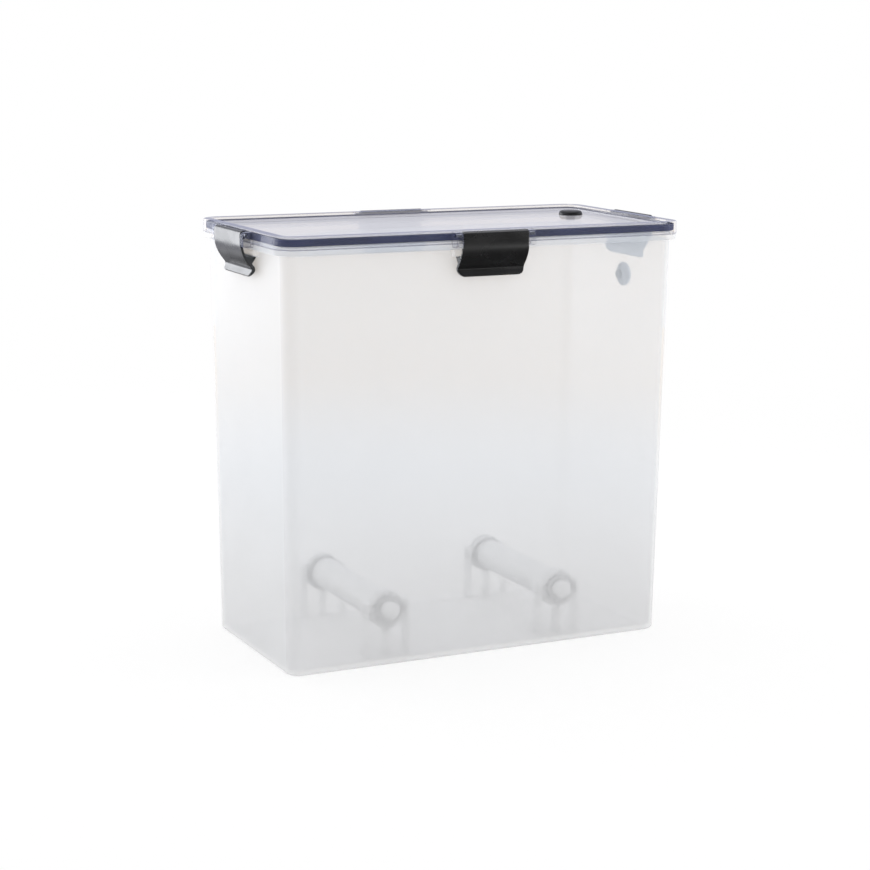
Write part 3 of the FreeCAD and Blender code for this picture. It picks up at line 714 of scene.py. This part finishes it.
class DRYBOX_OT_seal(bpy.types.Operator):
    """Finish the lid's seal and the port stoppers"""
    bl_idname = "drybox.seal"
    bl_label = "Seal and stoppers"

    def execute(self, context):
        look = context.scene.drybox_seal
        paint_node("lid_gasket", seal_finish(look))
        rubber = stopper_finish(look)
        for stopper in ("lid_plug", "wall_plug"):
            paint_node(stopper, rubber)
        return {"FINISHED"}


class DRYBOX_OT_latches(bpy.types.Operator):
    """Round off and finish the four flip latches and their pins"""
    bl_idname = "drybox.latches"
    bl_label = "Latches"

    def execute(self, context):
        look = context.scene.drybox_latch
        plastic = latch_finish(look)
        steel = steel_finish("ground_steel", look.pin_colour, PIN_METALLIC)
        for side in SIDES:
            body = "latch_" + side
            softened_piece(body, "flip_latch_" + side, body, plastic, look.edge_round)
            paint_node("latch_pin_" + side, steel)
        return {"FINISHED"}


class DRYBOX_OT_rollers(bpy.types.Operator):
    """Finish the spool rollers and fill their bearings with balls"""
    bl_idname = "drybox.rollers"
    bl_label = "Rollers"

    def execute(self, context):
        look = context.scene.drybox_roller
        plastic = bpy.data.materials["white_roller_plastic"]
        steel = steel_finish("bright_steel", look.ball_colour, BALL_METALLIC)
        for side in ROLLER_SIDES:
            paint_node("roller_axle_" + side, plastic)
            paint_node("roller_sleeve_" + side, plastic)
        tree = ball_ring_tree()
        for bearing in BEARINGS:
            paint_node(bearing + "_outer_ring", plastic)
            paint_node(bearing + "_inner_ring", plastic)
            low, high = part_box(bearing + "_balls")
            balls = grow(bearing + "_ball_ring", tree, {
                "Ball count": look.ball_count,
                "Ball radius": look.ball_size / 2,
                "Circle radius": look.ball_circle / 2,
                "Middle": (low + high) / 2,
                "Material": steel,
            })
            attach(balls, "container")
            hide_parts(bearing + "_balls")
        return {"FINISHED"}


def studio_world(look):
    """White behind the box, warmer through hazy walls, darker reflections from the camera's side."""
    world = bpy.data.worlds.new("studio")
    world.use_nodes = True
    tree = world.node_tree
    sky = tree.nodes["Background"]
    rays = tree.nodes.new("ShaderNodeLightPath")
    place = tree.nodes.new("ShaderNodeTexCoord")
    split = tree.nodes.new("ShaderNodeSeparateXYZ")
    tree.links.new(place.outputs["Generated"], split.inputs["Vector"])
    depth = add_range(tree, split.outputs["Y"], MIRRORED_FRONT_Y, MIRRORED_BACK_Y, 0.0, 1.0)
    mirror = add_colour_mix(tree, depth, look.mirrored_front, look.mirrored_back)
    level = (look.sky_level, look.sky_level, look.sky_level, 1.0)
    light = add_colour_mix(tree, rays.outputs["Is Glossy Ray"], level, mirror)
    layers = rays.outputs["Transparent Depth"]
    tint = add_range(tree, layers, FIRST_TINTED_LAYER, LAST_TINTED_LAYER, 0.0, 1.0)
    backdrop = add_colour_mix(tree, tint, WHITE, look.backdrop_tint)
    seen = add_math(tree, "MAXIMUM", rays.outputs["Is Camera Ray"], rays.outputs["Is Transmission Ray"])
    colour = add_colour_mix(tree, seen, light, backdrop)
    tree.links.new(colour, sky.inputs["Color"])
    bpy.context.scene.world = world


def studio_floor(look):
    """A round pale floor that fades into the background and keeps the box's shadow."""
    bm = bmesh.new()
    bmesh.ops.create_circle(bm, cap_ends=True, radius=look.floor_radius, segments=FLOOR_SEGMENTS)
    bmesh.ops.translate(bm, verts=bm.verts, vec=(0.0, 0.0, -FLOOR_DROP))
    mesh = bpy.data.meshes.new("floor")
    bm.to_mesh(mesh)
    bm.free()
    floor = bpy.data.objects.new("floor", mesh)
    bpy.context.scene.collection.objects.link(floor)
    finish = Finish("pale_floor", Roughness=0.9, Specular_IOR_Level=0.0)
    tree = finish.tree
    rays = tree.nodes.new("ShaderNodeLightPath")
    place = tree.nodes.new("ShaderNodeTexCoord")
    reach = tree.nodes.new("ShaderNodeVectorMath")
    reach.operation = "LENGTH"
    tree.links.new(place.outputs["Object"], reach.inputs[0])
    fade = add_range(tree, reach.outputs["Value"], FADE_START, FADE_END, 1.0, 0.0)
    white = tree.nodes.new("ShaderNodeEmission")
    share = add_math(tree, "MULTIPLY", rays.outputs["Is Camera Ray"], FLOOR_WHITE_SHARE)
    card = tree.nodes.new("ShaderNodeVectorMath")
    card.operation = "DISTANCE"
    card.inputs[1].default_value = look.card_place
    tree.links.new(place.outputs["Object"], card.inputs[0])
    card_end = CARD_EDGE * look.card_reach
    mirror = add_range(
        tree, card.outputs["Value"], look.card_reach, card_end, CARD_TONE, MIRRORED_FLOOR_TONE)
    colour = add_colour_mix(tree, rays.outputs["Is Glossy Ray"], look.floor_colour, mirror)
    tree.links.new(colour, finish.shader.inputs["Base Color"])
    lift = tree.nodes.new("ShaderNodeMixShader")
    tree.links.new(share, lift.inputs[0])
    tree.links.new(finish.shader.outputs[0], lift.inputs[1])
    tree.links.new(white.outputs[0], lift.inputs[2])
    clear = tree.nodes.new("ShaderNodeBsdfTransparent")
    edge = tree.nodes.new("ShaderNodeMixShader")
    tree.links.new(fade, edge.inputs[0])
    tree.links.new(clear.outputs[0], edge.inputs[1])
    tree.links.new(lift.outputs[0], edge.inputs[2])
    tree.links.new(edge.outputs[0], tree.nodes["Material Output"].inputs["Surface"])
    mesh.materials.append(finish.material)


def softbox(name, power, target, size, place, colour):
    """A soft area lamp that faces a point and isn't seen itself."""
    lamp = bpy.data.lights.new(name, "AREA")
    lamp.shape = "RECTANGLE"
    lamp.size, lamp.size_y = size
    lamp.energy = power
    lamp.color = colour
    holder = bpy.data.objects.new(name, lamp)
    bpy.context.scene.collection.objects.link(holder)
    holder.location = place
    holder.rotation_euler = (Vector(target) - Vector(place)).to_track_quat("-Z", "Y").to_euler()
    holder.visible_camera = False


def studio_camera(look):
    """The camera where the box's edges in the photograph put it."""
    turn, rise = look.azimuth, look.elevation
    right = Vector((math.cos(turn), math.sin(turn), 0.0))
    back = Vector((math.sin(turn) * math.cos(rise), -math.cos(turn) * math.cos(rise), math.sin(rise)))
    up = back.cross(right)
    across = right * math.cos(look.roll) + up * math.sin(look.roll)
    upward = up * math.cos(look.roll) - right * math.sin(look.roll)
    place = back * look.distance + right * look.pan[0] + up * look.pan[1]
    place.z += look.aim_height
    lens = bpy.data.cameras.new("camera")
    lens.sensor_width = SENSOR_WIDTH
    lens.lens = look.lens
    camera = bpy.data.objects.new("camera", lens)
    bpy.context.scene.collection.objects.link(camera)
    basis = Matrix((across, upward, back)).transposed()
    camera.matrix_world = Matrix.Translation(place) @ basis.to_4x4()
    bpy.context.scene.camera = camera


class DRYBOX_OT_studio(bpy.types.Operator):
    """Set up the floor, soft lamps and camera"""
    bl_idname = "drybox.studio"
    bl_label = "Studio"

    def execute(self, context):
        look = context.scene.drybox_studio
        studio_world(look)
        studio_floor(look)
        middle = (0.0, 0.0, look.aim_height)
        for name, lamp in SOFTBOXES.items():
            softbox(name + "_softbox", getattr(look, name + "_power"), middle, **lamp)
        studio_camera(look)
        context.scene.view_settings.view_transform = "Standard"
        return {"FINISHED"}


class DRYBOX_PT_panel(bpy.types.Panel):
    """Lists the steps that dress the box"""
    bl_idname = "DRYBOX_PT_panel"
    bl_label = "Dryer box"
    bl_space_type = "VIEW_3D"
    bl_region_type = "UI"
    bl_category = "Dryer box"

    def draw(self, context):
        for step in STEPS:
            self.layout.operator(step.bl_idname)
        for name, look in LOOKS.items():
            box = self.layout.box()
            for label in look.__annotations__:
                box.prop(getattr(context.scene, name), label)


STEPS = (
    DRYBOX_OT_tub,
    DRYBOX_OT_lid,
    DRYBOX_OT_seal,
    DRYBOX_OT_latches,
    DRYBOX_OT_rollers,
    DRYBOX_OT_studio,
)


def register():
    for look in LOOKS.values():
        bpy.utils.register_class(look)
    for item in (*STEPS, DRYBOX_PT_panel):
        bpy.utils.register_class(item)
    for name, look in LOOKS.items():
        setattr(bpy.types.Scene, name, PointerProperty(type=look))


def unregister():
    for name in LOOKS:
        delattr(bpy.types.Scene, name)
    for item in (DRYBOX_PT_panel, *reversed(STEPS)):
        bpy.utils.unregister_class(item)
    for look in reversed(LOOKS.values()):
        bpy.utils.unregister_class(look)


def main():
    register()
    bpy.ops.drybox.tub()
    bpy.ops.drybox.lid()
    bpy.ops.drybox.seal()
    bpy.ops.drybox.latches()
    bpy.ops.drybox.rollers()
    bpy.ops.drybox.studio()


if __name__ == "__main__":
    main()
